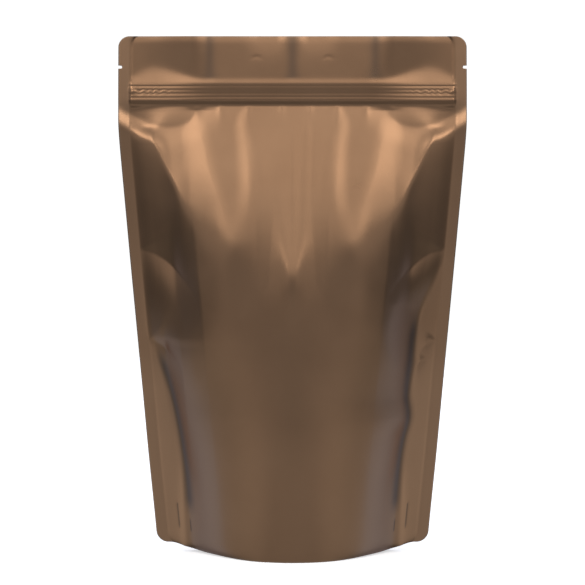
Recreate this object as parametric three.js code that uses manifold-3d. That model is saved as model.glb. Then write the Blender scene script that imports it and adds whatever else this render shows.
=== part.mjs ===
// A filled stand-up pouch of metallised film: flat flap, press-to-close zip, side seals,
// bulging panels with folds, and a folded base. It is one welded, closed body.
// The front faces -Y, +X is to the viewer's right, and the pouch stands on z = 0. Millimetres.
import * as THREE from "three";
import { mergeVertices } from "three/addons/utils/BufferGeometryUtils.js";
import Module from "manifold-3d";

// Driving dimensions
const WIDTH = 203; // across the flap, edge to edge
const HEIGHT = 302; // standing height
const BASE_DEPTH = 41; // centre line to the front rim at the floor
const BELLY_DEPTH = 42; // centre line to the front panel where it bulges most
const BELLY_HEIGHT = 75;
const FILM = 0.5; // half the thickness of the sealed edges
const CORNER_RADIUS = 6.5;
const SEAL_WIDTH = 6.5;

// Sides that draw in below the zip as the pouch fills
const TAPER_TOP = 250;
const TAPER = 0.088;
const TAPER_BEND = 5;

// Zip: a stepped band with ridges, as height above its foot and relief. Its ends are pressed flat.
const ZIP_TOP = 275;
const ZIP_FOOT = 261.5;
const ZIP_MIDDLE = [
  [0, 0.5],
  [1.4, 0.76],
  [2.8, 1.16],
  [3.6, 1.34],
  [5, 1.32],
  [6, 1.4],
  [7.5, 1.44],
  [10.2, 1.74],
  [12.2, 1.9],
  [13.5, 1.9],
];
const ZIP_ENDS = [
  [0, 0.5],
  [2.8, 1.14],
  [3.6, 1.27],
  [5, 1.06],
  [7.5, 0.8],
  [10.2, 0.67],
  [13.5, 0.3],
];
const ENDS_START = 42; // distance from the centre line where the pressing starts
const ENDS_FULL = 80;

// Tear notches
const NOTCH_HEIGHT = 284;
const NOTCH_DEPTH = 2.3;
const NOTCH_RADIUS = 0.9;

// Base: a sealed rim on the floor, corners a little off it, and a folded sheet between the rims
const CORNER_LIFT = 4.3;
const CORNER_START = 2;
const CORNER_REACH = 30;
const RIM_LIFT = 1.2;
const RIM_START = 20;
const RIM_REACH = 62;
const LIFT_FADE_HEIGHT = 70;
const GROOVE_HEIGHT = 2.8;
const POCKET_HEIGHT = 24;
const POCKET_OUTER = 24;
const POCKET_INNER = 52;
const ROOF_SHARE = 0.95; // share of the depth that the pocket at each end spans
const CORNER_MARGIN = 16; // strip along the edges that follows the rounded corners

// Mesh density
const BODY_STEPS = 38;
const FLAP_STEPS = 4;
const ROUND_STEPS = 4;
const CENTRE_COLUMNS = 11;

const clamp01 = (v) => Math.min(1, Math.max(0, v));
const mix = (a, b, t) => a + (b - a) * t;

function smooth(from, to, v) {
  const t = clamp01((v - from) / (to - from));
  return t * t * (3 - 2 * t);
}

// A ramp that starts at zero with a rounded corner of the given softness.
function softRamp(v, softness) {
  return v > 20 * softness ? v : softness * Math.log1p(Math.exp(v / softness));
}

// The lower of two values, with the corner between them rounded.
function softMin(a, b, softness) {
  return Math.min(a, b) - softness * Math.log1p(Math.exp(-Math.abs(a - b) / softness));
}

const bump = (v, width) => Math.exp(-((v / width) ** 2));

// A smooth curve through [place, value] knots in rising order of place.
function track(knots, place) {
  const last = knots.length - 1;
  const at = Math.min(Math.max(place, knots[0][0]), knots[last][0]);
  let i = 0;
  while (i < last - 1 && at > knots[i + 1][0]) i++;
  const slope = (j, k) => (knots[k][1] - knots[j][1]) / (knots[k][0] - knots[j][0]);
  const [p0, v0] = knots[i];
  const [p1, v1] = knots[i + 1];
  const h = p1 - p0;
  const t = (at - p0) / h;
  const start = slope(Math.max(0, i - 1), i + 1);
  const end = slope(i, Math.min(last, i + 2));
  const a = v0 * (1 + 2 * t) * (1 - t) ** 2 + start * h * t * (1 - t) ** 2;
  const b = v1 * t * t * (3 - 2 * t) + end * h * t * t * (t - 1);
  return a + b;
}

// Outline of the flat edges
function halfWidth(z) {
  return WIDTH / 2 - TAPER * softRamp(TAPER_TOP - z, TAPER_BEND);
}

// How far the rounded corners cut into the outline at a row's height.
function cornerCut(row) {
  const inCorner = Math.max(0, CORNER_RADIUS - row, row - (HEIGHT - CORNER_RADIUS));
  return CORNER_RADIUS - Math.sqrt(CORNER_RADIUS ** 2 - inCorner ** 2);
}

// The wedge above the filling opens downwards from the zip.
const WEDGE_START = 0.4;
const WEDGE_SLOPE = 0.385;

const wedgeDepth = (z) => WEDGE_START + WEDGE_SLOPE * Math.max(0, ZIP_FOOT - z);

// The filled body leans back a little above the belly.
const BODY_LEAN = 0.08;
const BODY_SOFTNESS = 15;

function bodyDepth(z) {
  const foot = (BELLY_DEPTH - BASE_DEPTH) * (Math.max(0, BELLY_HEIGHT - z) / BELLY_HEIGHT) ** 2;
  return BELLY_DEPTH - BODY_LEAN * softRamp(z - BELLY_HEIGHT, BODY_SOFTNESS) - foot;
}

// Section of the filled body: a crowned front between steep walls, rounder near the base
const BASE_WALL = 1.35; // slope of the walls near the base
const WALL_SLOPE = 0.9; // and higher up
const FRONT_CROWN = 0.7; // share of the depth that the front loses towards its sides
const CROWN_REACH = 0.8; // share of the half width where it stops losing depth
const ROUND_TOP = 85;
const BOX_START = 140;
const EDGE_SOFTNESS = 2;

function arch(ramp, half, z, valley) {
  const boxy = smooth(ROUND_TOP, BOX_START, z);
  const outward = 1 - clamp01(ramp / (half - valley));
  const reach = Math.min(outward, mix(1, CROWN_REACH, boxy));
  const front = bodyDepth(z) * (1 - mix(1, FRONT_CROWN, boxy) * reach ** 2);
  return softMin(mix(BASE_WALL, WALL_SLOPE, boxy) * ramp, front, EDGE_SOFTNESS);
}

// Valley where the flat side meets the bulging panel, as distance from the edge by height
const LEFT_VALLEY = [
  [0, 19],
  [50, 19.8],
  [92, 16],
  [121, 9.5],
  [128, 7.5],
  [150, 7],
  [HEIGHT, SEAL_WIDTH],
];
const RIGHT_VALLEY = [
  [0, 19],
  [36, 20],
  [56, 19.7],
  [67, 18.8],
  [80, 16.8],
  [93, 19.2],
  [110, 19.2],
  [141, 17.5],
  [164, 9.5],
  [176, 7],
  [HEIGHT, SEAL_WIDTH],
];
const VALLEY_SOFTNESS = 1.2;

// Ridge of the shoulder above the filling: height, distance from the edge
const RIDGE = [
  [0, 48],
  [165, 48],
  [180, 44.5],
  [201, 35.9],
  [225, 26.9],
  [243, 19.6],
  [258, 26],
];
const CROWN = 0.24; // share by which the middle of the wedge lies lower than its sides would
const RIDGE_SOFTNESS = 0.9;
const FILL_SOFTNESS = 1.2;
const SOFT_SHARE = 0.15; // most softness for a given depth, so that thin places stay crisp
const FIN_SLOPE = 0.1;
const FIN_FADE_START = 38;
const FIN_FADE_END = 74;

// Folds that spread from points on the zip, each a step up towards the centre line: path as
// [height, distance from the centre line], rise, and width on the outer and the inner side
const FOLDS = [
  {
    path: [[180, 37], [192, 38.5], [201, 40.5], [213, 45], [238, 51], [ZIP_FOOT, 56]],
    rise: 1.8,
    outer: 16,
    inner: 9,
  },
  {
    path: [[180, 29], [201, 25.5], [213, 25], [238, 27], [ZIP_FOOT, 28.5]],
    rise: 1.6,
    outer: 9,
    inner: 9,
  },
];
const FOLD_START = 20;
const FOLD_SPREAD = 14;
const FOLD_NARROW = 0.15; // share of its width that a fold has at the zip
const FOLD_RELAX = 25; // distance over which the panel falls back behind a step
const FOLD_LOW = 165;
const FOLD_HIGH = 225;

function folds(distance, z) {
  const below = Math.max(0, ZIP_FOOT - z);
  const spread = mix(FOLD_NARROW, 1, 1 - Math.exp(-below / FOLD_SPREAD));
  const growth = (1 - Math.exp(-below / FOLD_START)) * smooth(FOLD_LOW, FOLD_HIGH, z);
  let height = 0;
  for (const { path, rise, outer, inner } of FOLDS) {
    const off = track(path, z) - distance;
    const relax = Math.exp(-Math.max(off, 0) / FOLD_RELAX);
    height += rise * growth * smooth(-outer * spread, inner * spread, off) * relax;
  }
  return height;
}

// Noses that stand out on the body where the folds end: distance from the centre line, width, rise
const NOSES = [
  { place: 0, width: 7, rise: 2.6 },
  { place: 40, width: 9, rise: 1.2 },
];
const NOSE_LOW = 120;
const NOSE_HIGH = 172;

function noses(distance, z) {
  let height = 0;
  for (const { place, width, rise } of NOSES) height += rise * bump(distance - place, width);
  return height * smooth(NOSE_LOW, NOSE_HIGH, z);
}

// The flat upper panel, which meets the side walls in a ridge
function wedge(inset, half, z, ramp, valley) {
  const ridge = track(RIDGE, z);
  const deep = wedgeDepth(z);
  const panel = (at) => deep * (1 - CROWN * (1 - at / half) ** 2) + folds(half - at, z);
  const wall = (ramp * panel(ridge)) / (ridge - valley);
  return softMin(wall, panel(inset), Math.min(RIDGE_SOFTNESS, SOFT_SHARE * deep));
}

// Bulge of a panel: the round filled body below, the wedge above, and the flat side seal
function bulge(inset, half, z, knots) {
  const valley = track(knots, z);
  const ramp = softRamp(inset - valley, VALLEY_SOFTNESS);
  const body = arch(ramp, half, z, valley) + noses(half - inset, z);
  const softness = Math.min(FILL_SOFTNESS, SOFT_SHARE * (Math.max(0, body) + FILM));
  const room = softMin(wedge(inset, half, z, ramp, valley), body, softness);
  const fin = Math.max(0, Math.min(inset, valley) - SEAL_WIDTH);
  const fading = 1 - smooth(FIN_FADE_START, FIN_FADE_END, inset);
  return Math.max(0, room) + FIN_SLOPE * fin * fading;
}

// Dents with their tip at the side seal: inset and height of the tip, bend of the valley, depth,
// distance from the tip where it is deepest and where it ends, spread above and below the valley
const UPPER_DENT = {
  inset: 6.6,
  z: 177.5,
  bend: 0.027,
  depth: 4.8,
  deepest: 19,
  end: 33,
  above: 1.1,
  below: 17,
};
const LOWER_DENT = {
  inset: 7.2,
  z: 124.5,
  bend: 0.055,
  depth: 2.4,
  deepest: 9,
  end: 18,
  above: 1.3,
  below: 12,
};
const LEFT_DENTS = [UPPER_DENT, LOWER_DENT];
const RIGHT_DENTS = [UPPER_DENT];
const DENT_LIMIT = 0.85; // share of the depth that a dent may take
const DENT_ROUND = 0.08;
const DENT_START = -0.35; // where its upper slope would begin, as a share of its spread

function dent(inset, z, one) {
  const away = Math.max(0, inset - one.inset);
  const off = (z - one.z + one.bend * away ** 2) / Math.hypot(1, 2 * one.bend * away);
  const closing = (one.end - away) / (one.end - one.deepest);
  const size = one.depth * Math.max(0, softMin(away / one.deepest, closing, DENT_ROUND));
  const level = (share) => 1 - smooth(DENT_START, 1, share);
  const up = level(Math.max(0, off) / (one.above * away + 1)) / level(0);
  const down = Math.exp(Math.min(0, off) / one.below);
  return size * up * down;
}

// Middle surface: the zip and flap lean back, and the side seals kink where the bulge starts.
const LEAN = 0.135;
const LEAN_START = 262.5;
const LEAN_SOFTNESS = 1.5;
const KINK_TOP = 260.5;
const KINK_START = 1.2;
const KINK_TILT = 0.42;
const KINK_SHEAR = 0.6;
const KINK_PUSH = 3.6;
const KINK_LEVEL = 185;
const KINK_FADE = 85;
const KINK_INNER = 30;
const KINK_SOFTNESS = 0.5;

function middle(inset, z) {
  const lean = LEAN * softRamp(z - LEAN_START, LEAN_SOFTNESS);
  const down = KINK_TILT * softRamp(KINK_TOP - z - KINK_SHEAR * inset, KINK_START);
  const up = KINK_PUSH * smooth(KINK_FADE, KINK_LEVEL, z);
  const push = Math.max(0, softMin(down, up, KINK_SOFTNESS));
  return lean - push * (1 - smooth(SEAL_WIDTH, KINK_INNER, inset));
}

// Relief of the zip, which runs out upwards over the flap
function zipRelief(distance, z) {
  const up = Math.min(z, ZIP_TOP) - ZIP_FOOT;
  const pressed = smooth(ENDS_START, ENDS_FULL, distance);
  const above = clamp01((z - ZIP_TOP) / (HEIGHT - ZIP_TOP));
  return mix(track(ZIP_MIDDLE, up), track(ZIP_ENDS, up), pressed) * (1 - above);
}

// Distance of a panel's outer face from the middle surface
function panelDepth(x, inset, z) {
  if (z >= ZIP_FOOT) {
    return FILM + zipRelief(Math.abs(x), z) * smooth(SEAL_WIDTH - 1, SEAL_WIDTH + 1, inset);
  }
  const left = x < 0;
  let depth = bulge(inset, halfWidth(z), z, left ? LEFT_VALLEY : RIGHT_VALLEY);
  for (const one of left ? LEFT_DENTS : RIGHT_DENTS) {
    depth -= Math.min(DENT_LIMIT * depth, dent(inset, z, one));
  }
  return FILM + depth;
}

function cornerLift(inset) {
  const near = CORNER_LIFT * (1 - smooth(CORNER_START, CORNER_REACH, inset));
  return near + RIM_LIFT * (1 - smooth(RIM_START, RIM_REACH, inset));
}

// A point of the front (side -1) or back (side 1) panel, at a row's height and a column's inset.
function panelPoint(side, column, row) {
  const outer = halfWidth(row);
  const inset = column.inset + column.share * outer;
  const cut = cornerCut(row) * clamp01(1 - inset / CORNER_MARGIN);
  const x = column.sign * (outer - inset - cut);
  const z = row + cornerLift(inset) * (1 - smooth(0, LIFT_FADE_HEIGHT, row));
  const depth = panelDepth(-side * x, inset, row);
  return new THREE.Vector3(x, middle(inset, row) + side * depth, z);
}

// Columns: fixed insets near each edge, and even shares of what is left towards the middle.
const EDGE_INSETS = [0, 3.2, 6.5, 9, 12, 15.5, 19, 22.5, 26, 30, 34, 38];

function columnList() {
  const left = EDGE_INSETS.map((inset) => ({ sign: -1, inset, share: 0 }));
  const last = EDGE_INSETS.at(-1);
  for (let i = 1; i <= CENTRE_COLUMNS; i++) {
    const share = i / CENTRE_COLUMNS;
    left.push({ sign: -1, inset: last * (1 - share), share });
  }
  const right = left.slice(0, -1).map((c) => ({ ...c, sign: 1 })).reverse();
  return [...left, ...right];
}

function rowList() {
  const turn = (i) => (Math.PI / 2) * (i / ROUND_STEPS);
  const topCorner = HEIGHT - CORNER_RADIUS;
  const rows = [];
  for (let i = 0; i <= ROUND_STEPS; i++) rows.push(CORNER_RADIUS * (1 - Math.cos(turn(i))));
  for (let i = 1; i < BODY_STEPS; i++) rows.push(mix(CORNER_RADIUS, ZIP_FOOT, i / BODY_STEPS));
  rows.push(...ZIP_MIDDLE.map(([up]) => ZIP_FOOT + up));
  for (let i = 1; i < FLAP_STEPS; i++) rows.push(mix(ZIP_TOP, topCorner, i / FLAP_STEPS));
  for (let i = 0; i <= ROUND_STEPS; i++) rows.push(topCorner + CORNER_RADIUS * Math.sin(turn(i)));
  return rows;
}

// Underside from the front rim to the back rim: share of the way across, and height of the
// groove inside each sealed rim. The middle lies flat on the floor.
const HALF_UNDERSIDE = [[0.015, 0], [0.06, 1], [0.15, 0.6], [0.3, 0]];
const UNDERSIDE = [
  ...HALF_UNDERSIDE,
  [0.5, 0],
  ...HALF_UNDERSIDE.map(([share, groove]) => [1 - share, groove]).reverse(),
];

function undersidePoint(front, back, [share, groove]) {
  const point = front.clone().lerp(back, share);
  const inset = halfWidth(0) - Math.abs(front.x);
  const open = smooth(POCKET_OUTER, POCKET_INNER, inset);
  const end = smooth(CORNER_MARGIN, POCKET_OUTER, inset) * (1 - open);
  const roof = clamp01(1 - Math.abs(2 * share - 1) / ROOF_SHARE);
  point.z += GROOVE_HEIGHT * groove * open + POCKET_HEIGHT * roof * end;
  return point;
}

// One line of the underside from left to right. It closes onto the rims at both ends.
function undersideLine(front, back, place, last) {
  return front.map((point, i) => {
    if (i === 0 || i === last) return place[0] < 0.5 ? point : back[i];
    return undersidePoint(point, back[i], place);
  });
}

// A closed shell: the two panels, the strip along the top and sides, and the underside.
function shellGeometry() {
  const columns = columnList();
  const rows = rowList();
  const front = rows.map((row) => columns.map((column) => panelPoint(-1, column, row)));
  const back = rows.map((row) => columns.map((column) => panelPoint(1, column, row)));
  const last = columns.length - 1;
  const lines = UNDERSIDE.map((place) => undersideLine(front[0], back[0], place, last));
  const corners = [];
  const face = (a, b, c) => {
    if (a !== b && b !== c && c !== a) corners.push(a, b, c);
  };
  const quad = (a, b, c, d) => {
    face(a, b, c);
    face(a, c, d);
  };
  const sheet = (grid, flip) => {
    for (let j = 0; j + 1 < grid.length; j++) {
      for (let i = 0; i + 1 < grid[j].length; i++) {
        const ring = [grid[j][i], grid[j][i + 1], grid[j + 1][i + 1], grid[j + 1][i]];
        quad(...(flip ? ring.reverse() : ring));
      }
    }
  };
  sheet(front, false);
  sheet(back, true);
  sheet([front[0], ...lines, back[0]], true);
  sheet([front.at(-1), back.at(-1)], false);
  for (let j = 0; j + 1 < rows.length; j++) {
    quad(front[j][0], front[j + 1][0], back[j + 1][0], back[j][0]);
    quad(back[j][last], back[j + 1][last], front[j + 1][last], front[j][last]);
  }
  return new THREE.BufferGeometry().setFromPoints(corners);
}

const wasm = await Module();
wasm.setup();

const WELD = 1e-3;

function toSolid(geometry) {
  const bare = geometry.index ? geometry.toNonIndexed() : geometry.clone();
  bare.deleteAttribute("normal");
  bare.deleteAttribute("uv");
  const merged = mergeVertices(bare, WELD);
  return new wasm.Manifold(
    new wasm.Mesh({
      numProp: 3,
      vertProperties: merged.getAttribute("position").array,
      triVerts: new Uint32Array(merged.index.array),
    }),
  );
}

function toGeometry(solid) {
  const mesh = solid.getMesh();
  const geometry = new THREE.BufferGeometry();
  geometry.setAttribute("position", new THREE.BufferAttribute(mesh.vertProperties, 3));
  geometry.setIndex(new THREE.BufferAttribute(mesh.triVerts, 1));
  geometry.computeVertexNormals();
  return geometry;
}

// A round-ended slot through both films at one edge of the flap.
const NOTCH_THROUGH = 24;
const NOTCH_SIDES = 16;

function notchSolid(sign) {
  const reach = 2 * NOTCH_DEPTH;
  const edge = (sign * WIDTH) / 2;
  const end = edge - sign * (NOTCH_DEPTH - NOTCH_RADIUS);
  const round = new THREE.CylinderGeometry(NOTCH_RADIUS, NOTCH_RADIUS, NOTCH_THROUGH, NOTCH_SIDES);
  round.translate(end, 0, NOTCH_HEIGHT);
  const slot = new THREE.BoxGeometry(reach, NOTCH_THROUGH, 2 * NOTCH_RADIUS);
  slot.translate(end + (sign * reach) / 2, 0, NOTCH_HEIGHT);
  return toSolid(round).add(toSolid(slot));
}

const body = toSolid(shellGeometry()).subtract(notchSolid(-1)).subtract(notchSolid(1));

const film = new THREE.MeshStandardMaterial({ color: 0x8a6a50, roughness: 0.38, metalness: 0.9 });
const pouch = new THREE.Mesh(toGeometry(body), film);
pouch.name = "pouch";

const group = new THREE.Group();
group.add(pouch);

export default group;
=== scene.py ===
# A filled stand-up pouch of satin bronze film on a white floor.
# The front faces -Y, +X is to the viewer's right. Shapes are worked out in millimetres and
# become metres where the mesh is made.
import math

import bpy
import numpy as np
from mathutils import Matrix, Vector


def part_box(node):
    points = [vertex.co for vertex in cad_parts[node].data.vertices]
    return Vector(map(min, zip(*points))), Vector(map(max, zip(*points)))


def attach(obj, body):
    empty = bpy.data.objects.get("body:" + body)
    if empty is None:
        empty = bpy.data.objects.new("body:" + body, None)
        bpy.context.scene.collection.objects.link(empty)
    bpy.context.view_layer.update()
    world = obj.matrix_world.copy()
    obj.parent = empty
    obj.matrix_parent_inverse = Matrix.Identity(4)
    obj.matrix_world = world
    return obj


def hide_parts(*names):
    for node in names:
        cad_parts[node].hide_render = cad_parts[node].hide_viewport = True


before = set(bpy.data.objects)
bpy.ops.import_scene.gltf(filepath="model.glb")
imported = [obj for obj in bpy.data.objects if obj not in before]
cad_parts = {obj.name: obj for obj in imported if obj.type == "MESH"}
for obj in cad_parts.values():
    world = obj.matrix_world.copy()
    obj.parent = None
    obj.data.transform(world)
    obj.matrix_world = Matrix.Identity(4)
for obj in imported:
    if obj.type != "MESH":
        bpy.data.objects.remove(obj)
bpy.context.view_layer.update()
MM = 0.001

# Driving sizes in millimetres. The width and height come from the frame.
pouch_low, pouch_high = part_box("pouch")
WIDTH = (pouch_high.x - pouch_low.x) / MM
HEIGHT = (pouch_high.z - pouch_low.z) / MM
BELLY_DEPTH = 42
BASE_DEPTH = 41
BELLY_HEIGHT = 75
FILM = 0.2
CORNER_RADIUS = 6.5
SEAL_WIDTH = 6.5

# Sides that draw in below the zip
TAPER_TOP = 250
TAPER = 0.088
TAPER_BEND = 5

# Zip
ZIP_TOP = 275
ZIP_FOOT = 261.5
# Profile of the zip in the middle and at its pressed ends: height above its foot, relief
ZIP_MIDDLE = [
    (0.0, 0.5),
    (0.7, 0.58),
    (2.6, 1.1),
    (3.4, 1.3),
    (4.2, 1.37),
    (5.1, 1.31),
    (5.8, 1.39),
    (6.4, 1.41),
    (7.2, 1.4),
    (8.2, 1.53),
    (9.0, 1.6),
    (10.2, 1.74),
    (11.2, 1.78),
    (11.7, 1.78),
    (12.2, 1.9),
    (13.5, 1.9),
]
ZIP_ENDS = [
    (0.0, 0.5),
    (0.7, 0.58),
    (2.6, 1.08),
    (3.4, 1.28),
    (4.8, 1.05),
    (5.6, 1.1),
    (7.2, 0.8),
    (8.0, 0.85),
    (9.3, 0.62),
    (10.2, 0.67),
    (11.6, 0.4),
    (12.1, 0.5),
    (13.5, 0.3),
]
# Distances from the centre between which the one turns into the other
ENDS_START = 42
ENDS_FULL = 80
# Crinkles near the ends: pitch along the zip, made uneven by a slower swing, how far they shift
# the ribs, their height above the foot and reach, and where they start and are full
CRINKLE_PITCH = 4.1
CRINKLE_SWING = 1.1
CRINKLE_BEAT = 13.7
CRINKLE_SHIFT = 0.6
CRINKLE_HEIGHT = 8.2
CRINKLE_REACH = 1.6
CRINKLE_INNER = 58
CRINKLE_FULL = 80
# Crushed ends of the zip: distance from the edge, height above the foot, radius and rise
CRUSH = (8.2, 8.6, 1.7, 0.45)

# Tear notches
NOTCH_HEIGHT = 284
NOTCH_DEPTH = 2.3
NOTCH_RADIUS = 0.9

# Base: the corners are lifted off the floor, and the rim beside them a little
CORNER_LIFT = 4.3
CORNER_FLAT = 2
CORNER_REACH = 30
RIM_LIFT = 1.2
RIM_START = 20
RIM_REACH = 62
LIFT_FADE_HEIGHT = 70
# The rim rolls under beside the corners: depth, height, and where it starts and ends across
ROLL_DEPTH = 2.2
ROLL_HEIGHT = 3
ROLL_OUTER = 14
ROLL_FULL = 24
ROLL_INNER = 62


def clamp01(v):
    return np.clip(v, 0, 1)


def mix(a, b, t):
    return a + (b - a) * t


def smooth(start, end, v):
    t = clamp01((v - start) / (end - start))
    return t * t * (3 - 2 * t)


def soft_ramp(v, softness):
    return softness * np.logaddexp(0, v / softness)


def soft_min(a, b, softness):
    return np.minimum(a, b) - softness * np.log1p(np.exp(-np.abs(a - b) / softness))


def bump(v, width):
    return np.exp(-((v / width) ** 2))


def track(knots, place):
    """A smooth curve through (place, value) knots."""
    places = np.array([k[0] for k in knots], float)
    values = np.array([k[1] for k in knots], float)
    steps = np.diff(places)
    slopes = np.diff(values) / steps
    inner = (values[2:] - values[:-2]) / (places[2:] - places[:-2])
    tangents = np.concatenate([slopes[:1], inner, slopes[-1:]])
    at = np.clip(place, places[0], places[-1])
    i = np.clip(np.searchsorted(places, at, side="right") - 1, 0, len(places) - 2)
    h = steps[i]
    t = (at - places[i]) / h
    a = values[i] * (1 + 2 * t) * (1 - t) ** 2 + tangents[i] * h * t * (1 - t) ** 2
    b = values[i + 1] * t * t * (3 - 2 * t) + tangents[i + 1] * h * t * t * (t - 1)
    return a + b


def half_width(z):
    return WIDTH / 2 - TAPER * soft_ramp(TAPER_TOP - z, TAPER_BEND)


def corner_cut(row):
    """How far the rounded corners cut into the outline."""
    off = np.maximum(0, np.maximum(CORNER_RADIUS - row, row - (HEIGHT - CORNER_RADIUS)))
    return CORNER_RADIUS - np.sqrt(np.maximum(0, CORNER_RADIUS**2 - off**2))


def notch_cut(row):
    """How far the tear notch cuts into the outline."""
    off = np.abs(row - NOTCH_HEIGHT)
    inside = NOTCH_DEPTH - NOTCH_RADIUS + np.sqrt(np.maximum(0, NOTCH_RADIUS**2 - off**2))
    return np.where(off <= NOTCH_RADIUS, inside, 0)


# The wedge above the filling, which opens downwards from the zip
WEDGE_START = 0.4
WEDGE_SLOPE = 0.385
# The filled body leans back a little above the belly.
BODY_LEAN = 0.08
BODY_SOFTNESS = 15


def wedge_depth(z):
    return WEDGE_START + WEDGE_SLOPE * np.maximum(0, ZIP_FOOT - z)


def body_depth(z):
    foot = (BELLY_DEPTH - BASE_DEPTH) * (np.maximum(0, BELLY_HEIGHT - z) / BELLY_HEIGHT) ** 2
    return BELLY_DEPTH - BODY_LEAN * soft_ramp(z - BELLY_HEIGHT, BODY_SOFTNESS) - foot


# The section has a crowned front between steep walls, rounder near the base.
BASE_WALL = 1.35
WALL_SLOPE = 0.9
# Heights between which the walls change from one to the other
LEFT_STEEP = (85, 140)
RIGHT_STEEP = (130, 180)
BASE_CROWN = 1
FRONT_CROWN = 0.7
EDGE_SOFTNESS = 2
# How far out the front stays crowned, as a share of the half width
BASE_REACH = 1.2
CROWN_REACH = 0.8
CROWN_SOFTNESS = 0.06
# Heights where the round section ends and where the boxy one starts
ROUND_TOP = 85
BOX_START = 140

# Valley where the flat side meets the bulging panel: height, distance from the edge
LEFT_VALLEY = [(0, 19), (50, 19.8), (92, 16), (121, 9.5), (128, 7.5), (150, 7), (300, 6.5)]
RIGHT_VALLEY = [
    (0, 19),
    (36, 20),
    (56, 19.7),
    (67, 18.8),
    (80, 16.8),
    (93, 19.2),
    (110, 19.2),
    (141, 17.5),
    (164, 9.5),
    (176, 7),
    (300, 6.5),
]
# Its softness: height, softness
VALLEY_SOFTNESS = [(0, 4), (30, 3), (55, 1.7), (110, 1.4), (150, 0.9), (300, 0.9)]
# Ridge of the shoulder: height, distance from the edge
RIDGE = [
    (0, 48),
    (165, 48),
    (180, 44.5),
    (192, 39.7),
    (201, 35.9),
    (213, 31.6),
    (225, 26.9),
    (238, 21.7),
    (243, 19.6),
    (247, 20),
    (252, 23),
    (258, 26),
    (300, 26),
]
# The steepest that the walls of the shoulder may be
STEEPEST = 1.3
# Crown of the flat upper panel and softness of its ridge: height, value
CROWN = [(0, 0.25), (300, 0.2)]
RIDGE_SOFTNESS = [(0, 3), (187, 1.4), (202, 0.7), (213, 0.4), (227, 0.3), (300, 0.3)]
# The ridge is softened by no more than this share of the depth and no less than this length.
RIDGE_SHARE = 0.2
RIDGE_LEAST = 0.05
# How softly the wedge turns into the body, by distance from the centre line
FILL_SOFTNESS = [
    (0, 1.1),
    (2, 1.1),
    (4, 1.5),
    (9, 2.7),
    (17, 3.6),
    (25, 2.0),
    (33, 0.8),
    (40, 1.3),
    (48, 2.2),
    (57, 2.4),
    (66, 1),
    (75, 0.8),
    (110, 0.8),
]
# It is full above a height, and it is limited where the body is thin.
FILL_LEAST = 0.1
FILL_LOW = 100
FILL_HIGH = 165
THIN_LEAST = 0.05
THIN_SHARE = 0.1
# How softly the bulge starts beside the flat sides, near the base and higher up
LOW_START = 0.7
HIGH_START = 0.03
# Slope of the flat sides between the seal and the valley, which fades inwards
FIN_SLOPE = 0.1
FIN_SOFTNESS = 0.5
FIN_FADE_START = 38
FIN_FADE_END = 74


def valley_ramp(inset, z, valley):
    return soft_ramp(inset - valley, track(VALLEY_SOFTNESS, z))


def arch(inset, half, z, valley, steep):
    """Section of the filled body."""
    ramp = valley_ramp(inset, z, valley)
    outward = 1 - clamp01(ramp / (half - valley))
    deep = body_depth(z)
    boxy = smooth(ROUND_TOP, BOX_START, z)
    crown = mix(BASE_CROWN, FRONT_CROWN, boxy)
    crowned = soft_min(outward, mix(BASE_REACH, CROWN_REACH, boxy), CROWN_SOFTNESS)
    wall = mix(BASE_WALL, WALL_SLOPE, smooth(*steep, z)) * ramp
    return soft_min(wall, deep * (1 - crown * crowned**2), EDGE_SOFTNESS)


def wedge(x, inset, half, z, valley):
    """The flat upper panel, which meets the side walls in a ridge."""
    ridge = track(RIDGE, z)
    crown = track(CROWN, z)
    deep = wedge_depth(z)
    front = deep * (1 - crown * (1 - inset / half) ** 2) + fans(x, z)
    ridge_x = np.where(x < 0, ridge - half, half - ridge)
    top = deep * (1 - crown * (1 - ridge / half) ** 2) + fans(ridge_x, z)
    slope = np.minimum(np.maximum(top, 0) / (ridge - valley), STEEPEST)
    wall = valley_ramp(inset, z, valley) * slope
    softness = np.maximum(RIDGE_LEAST, np.minimum(track(RIDGE_SOFTNESS, z), RIDGE_SHARE * deep))
    return soft_min(wall, front, softness)


def bulge(x, inset, half, z, valley_knots, steep):
    """Depth of one half of the panel below the zip, without its dents."""
    valley = track(valley_knots, z)
    softness = FILL_LEAST + track(FILL_SOFTNESS, np.abs(x)) * smooth(FILL_LOW, FILL_HIGH, z)
    body = arch(inset, half, z, valley, steep) + noses(x, z)
    softness = np.minimum(softness, THIN_LEAST + THIN_SHARE * np.maximum(0, body))
    room = soft_min(wedge(x, inset, half, z, valley), body, softness)
    fin = soft_ramp(inset - SEAL_WIDTH, FIN_SOFTNESS) - soft_ramp(inset - valley, FIN_SOFTNESS)
    fading = 1 - smooth(FIN_FADE_START, FIN_FADE_END, inset)
    start = mix(LOW_START, HIGH_START, smooth(ROUND_TOP, BOX_START, z))
    return soft_ramp(room, start) + FIN_SLOPE * fin * fading


# Dents with their tip at the side seal: inset and height of the tip, bend of the valley, depth,
# distance from the tip where it is deepest and where it ends, spread above and below the valley
UPPER_DENT = (6.6, 177.5, 0.027, 4.8, 19, 33, 1.1, 17)
LEFT_DENTS = [UPPER_DENT, (7.2, 124.5, 0.055, 2.4, 9, 18, 1.3, 12)]
RIGHT_DENTS = [
    UPPER_DENT,
    (7.1, 125, 0.1, 0.7, 4, 10, 1.2, 3),
    (10.8, 113.6, 0.1, 0.7, 4, 9, 1.2, 3),
]
# A dent takes no more than this share of the depth. Then how round its deepest place is, the
# width of its lip at the tip, and where in the smooth step above the valley the lip starts
DENT_LIMIT = 0.85
DENT_ROUND = 0.08
DENT_LIP = 1
DENT_CREST = -0.35


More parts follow.
